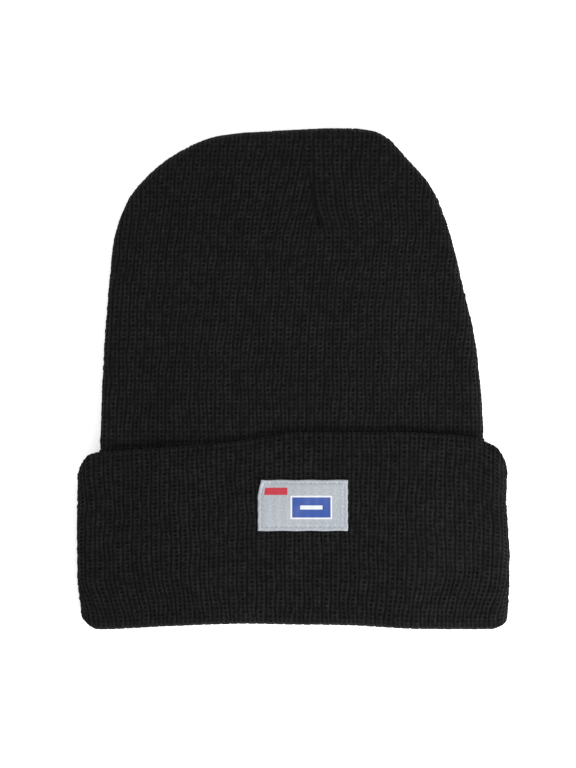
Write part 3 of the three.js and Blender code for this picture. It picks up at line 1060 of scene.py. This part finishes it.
# %% Black wool knit
def knit_material():
    """Near-black yarn, soft and dull: its colour is darker in the gaps and a little lighter on the
    strands, which is painted shade.
    """
    material, nodes, links, shader = new_material("black_rib_knit")
    calc, times, linear = calculator(nodes, links)
    _, rib, course, height = stitch_place(nodes, links)

    def pair(x, y):
        """A vector from two numbers."""
        both = nodes.new("ShaderNodeCombineXYZ")
        links.new(x, both.inputs["X"])
        links.new(y, both.inputs["Y"])
        return both.outputs["Vector"]

    def lot(x, y):
        """A random number for each whole step of two values."""
        noise = nodes.new("ShaderNodeTexWhiteNoise")
        links.new(pair(calc("FLOOR", x), calc("FLOOR", y)), noise.inputs["Vector"])
        return noise.outputs["Value"]

    middle = calc("ABSOLUTE", calc("SUBTRACT", calc("FRACT", rib), 0.5))
    part = calc("DIVIDE", calc("ADD", calc("FRACT", course), LEG_HIDDEN), 1 + 2 * LEG_HIDDEN)
    centre = linear(part, (LEG_TOP - LEG_FOOT) / CROWN_RIB, LEG_FOOT / CROWN_RIB)
    away = times(calc("SUBTRACT", middle, centre), CROWN_RIB / YARN)
    round_part = calc("SQRT", calc("MAXIMUM", calc("SUBTRACT", 1.0, times(away, away)), 0.0))
    # Two plies wind round the strand, and the strand's belly stands out in each course.
    plies = calc("ABSOLUTE", calc("SINE", times(linear(course, 3.0, times(away, 0.55)), math.pi)))
    belly = calc("SINE", times(calc("FRACT", course), math.pi))
    place = nodes.new("ShaderNodeTexCoord").outputs["Object"]
    fibres = add_noise(nodes, links, place, 1500, 4, 0.75)
    tufts = add_noise(nodes, links, place, 700, 2, 0.5)
    patches = add_noise(nodes, links, place, 70, 3, 0.6)
    hole_shade_spread = add_noise(nodes, links, place, 160, 2, 0.5)
    # Painted shade: the valley beside a rib is darkened, more in some places than others, and the holes
    # are darkened unevenly.
    valley = pair(times(calc("FLOOR", calc("ADD", rib, 0.5)), 7.3), times(course, 0.7))
    valley_shade_strength = add_noise(nodes, links, valley, 1.0, 2, 0.5)
    near_valley = calc("MAXIMUM", linear(middle, 7.0, -2.5), 0.0)
    painted_valley_shade = times(near_valley, linear(valley_shade_strength, 4.5, -1.4))
    # Painted shade in the holes between the legs, stronger in some places than others.
    near_middle = calc("MAXIMUM", linear(middle, -4.5, 1.0), 0.0)
    hole_shade_strength = times(calc("MAXIMUM", linear(hole_shade_spread, 4.2, -1.4), 0.0), linear(lot(rib, course), 1.8, 0.1))
    hole = times(near_middle, linear(linear(belly, -1.4, 0.75), hole_shade_strength, -0.1))
    # What lies deep is darkened, which is painted shade, as are the strands' sides, the valleys and the
    # holes; each trait of the yarn lightens or darkens it by a factor, and the plies, fibres, patches and
    # random tone of each leg are the yarn's own.
    shade = linear(height, 0.24, 0.35)
    for factor in (
        linear(round_part, 0.1, 0.82),
        calc("MAXIMUM", calc("ADD", linear(belly, -0.65, 1.33), hole), 0.1),
        linear(lot(times(rib, 2.0), course), 0.66, 0.27),
        calc("MAXIMUM", calc("SUBTRACT", 1.0, painted_valley_shade), 0.2),
        linear(plies, 0.3, 0.7),
        linear(fibres, 5.8, -1.9),
        linear(patches, 0.9, 0.55),
    ):
        shade = times(shade, factor)
    stops = [(0.0, (0.0004, 0.0004, 0.0005)), (1.0, (0.0181, 0.0181, 0.019))]
    links.new(add_ramp(nodes, links, shade, stops), shader.inputs["Base Color"])
    relief = linear(round_part, 0.22, times(plies, 0.07))
    relief = linear(fibres, 0.16, linear(tufts, 0.12, relief))
    add_bump(nodes, links, shader, relief, 0.8, 1.0)
    links.new(linear(fibres, 0.2, 0.75), shader.inputs["Roughness"])
    shader.inputs["Specular IOR Level"].default_value = 0.1
    shader.inputs["Sheen Weight"].default_value = 0.02
    shader.inputs["Sheen Roughness"].default_value = 0.45
    return material


black_knit = knit_material()
for piece in (crown_left, crown_right, cuff):
    piece.data.materials.append(black_knit)
print("knit material has", len(black_knit.node_tree.nodes), "nodes")

# %% [markdown]
# ## The label's finish
# The label is grey satin with a plain printed block and stripe. Satin is made of long floats
# that lie side by side, so it shows fine lines across and shines along them.

# %% Grey satin with plain print
RED = (0.3, 0.008, 0.02)
BLUE = (0.01, 0.042, 0.2)
LIGHT = (0.47, 0.48, 0.5)


def satin_material():
    """Silver-grey satin with a red bar and a blue block with a light edge."""
    material, nodes, links, shader = new_material("grey_satin")
    calc, times, linear = calculator(nodes, links)
    place, across, up, _ = stitch_place(nodes, links)

    def block(x, y, width, height):
        """1 inside a rectangle about a place, 0 outside."""
        wide = calc("LESS_THAN", calc("ABSOLUTE", calc("SUBTRACT", across, x)), width / 2)
        high = calc("LESS_THAN", calc("ABSOLUTE", calc("SUBTRACT", up, y)), height / 2)
        return times(wide, high)

    def paint(base, mask, colour):
        """A colour laid over another where the mask is 1."""
        mix = nodes.new("ShaderNodeMix")
        mix.data_type = "RGBA"
        links.new(mask, mix.inputs["Factor"])
        links.new(base, mix.inputs["A"])
        mix.inputs["B"].default_value = (*colour, 1)
        return mix.outputs["Result"]

    threads = calc("SINE", times(up, 2 * math.pi / 0.28))
    floats = calc("SINE", linear(across, 2 * math.pi / 0.9, times(up, 9.0)))
    grain = add_noise(nodes, links, place, 1.1, 4, 0.7)
    weave = linear(threads, 0.12, linear(floats, 0.06, grain))
    stops = [(0.3, (0.178, 0.191, 0.21)), (0.75, (0.304, 0.327, 0.356))]
    colour = add_ramp(nodes, links, weave, stops)
    colour = paint(colour, block(-13.4, 7.0, 11.6, 3.6), RED)
    colour = paint(colour, block(4.2, -1.0, 20.6, 11.6), LIGHT)
    colour = paint(colour, block(4.2, -1.0, 19.0, 10.0), BLUE)
    colour = paint(colour, block(4.2, -1.0, 11.0, 2.0), LIGHT)
    links.new(colour, shader.inputs["Base Color"])
    add_bump(nodes, links, shader, weave, 0.5, 0.06)
    shader.inputs["Roughness"].default_value = 0.45
    shader.inputs["Anisotropic"].default_value = 0.5
    shader.inputs["Sheen Weight"].default_value = 0.05
    return material


label.data.materials.append(satin_material())


# %% Grey sewing thread
def thread_material():
    """Twisted grey thread, a little darker than the label."""
    material, nodes, links, shader = new_material("grey_thread")
    linear = calculator(nodes, links)[2]
    place = nodes.new("ShaderNodeTexCoord").outputs["Object"]
    fibres = add_noise(nodes, links, place, 4000, 3, 0.6)
    stops = [(0.3, (0.15, 0.16, 0.175)), (0.7, (0.25, 0.265, 0.29))]
    links.new(add_ramp(nodes, links, fibres, stops), shader.inputs["Base Color"])
    links.new(linear(fibres, 0.3, 0.4), shader.inputs["Roughness"])
    add_bump(nodes, links, shader, fibres, 1.0, 0.05)
    return material


label_stitches.data.materials.append(thread_material())

# %% [markdown]
# ## What each piece stands for
# Each piece is attached to the body that it moves with, and the CAD part that it dresses is hidden.

# %% Bodies and hidden CAD parts
for piece, ribs in ((crown_left, 25 + 33), (crown_right, 22 + 16)):
    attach(piece, "root")
    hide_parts("crown")
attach(cuff, "root")
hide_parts("cuff")
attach(label, "root")
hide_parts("label")
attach(label_stitches, "root")
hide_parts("label")

# %% [markdown]
# ## Floor and light
# An even white sky gives the picture's flat brightness. A lamp beside the cuff's right corner
# makes that side a little brighter, and a weaker one opposite fills in. The white floor glows
# faintly, like a lit table, so the cap throws hardly any shadow on it.

# %% Floor
FLOOR_HALF = 1.6
FLOOR_LEVEL = -0.0002
floor_mesh = bpy.data.meshes.new("floor")
corners = [(-1, -1), (1, -1), (1, 1), (-1, 1)]
corners = [(x * FLOOR_HALF, y * FLOOR_HALF, FLOOR_LEVEL) for x, y in corners]
floor_mesh.from_pydata(corners, [], [(0, 1, 2, 3)])
add_object("floor", floor_mesh)
floor_material, floor_nodes, floor_links, floor_shader = new_material("white_paper")
paper = add_noise(floor_nodes, floor_links, None, 60, 2, 0.5)
paper_stops = [(0.0, (0.89, 0.89, 0.89)), (1.0, (0.93, 0.93, 0.93))]
floor_links.new(add_ramp(floor_nodes, floor_links, paper, paper_stops), floor_shader.inputs["Base Color"])
floor_shader.inputs["Roughness"].default_value = 0.9
floor_shader.inputs["Emission Color"].default_value = (1, 1, 1, 1)
floor_shader.inputs["Emission Strength"].default_value = 0.3
floor_mesh.materials.append(floor_material)


# %% Lights
def add_soft_light(name, place, size, power):
    """A square area light that points at the cap."""
    data = bpy.data.lights.new(name, "AREA")
    data.size = size
    data.energy = power
    light = add_object(name, data)
    light.location = place
    light.rotation_mode = "QUATERNION"
    light.rotation_quaternion = (-light.location).to_track_quat("-Z", "Y")


add_soft_light("key", (0.42, -0.4, 0.42), 0.4, 6.6)
add_soft_light("fill", (-0.5, 0.9, 1.2), 1.0, 3)
world = bpy.data.worlds.new("studio")
world.use_nodes = True
sky = world.node_tree.nodes["Background"]
sky.inputs["Color"].default_value = (1, 1, 1, 1)
sky.inputs["Strength"].default_value = 1.05
bpy.context.scene.world = world
bpy.context.scene.view_settings.view_transform = "Standard"
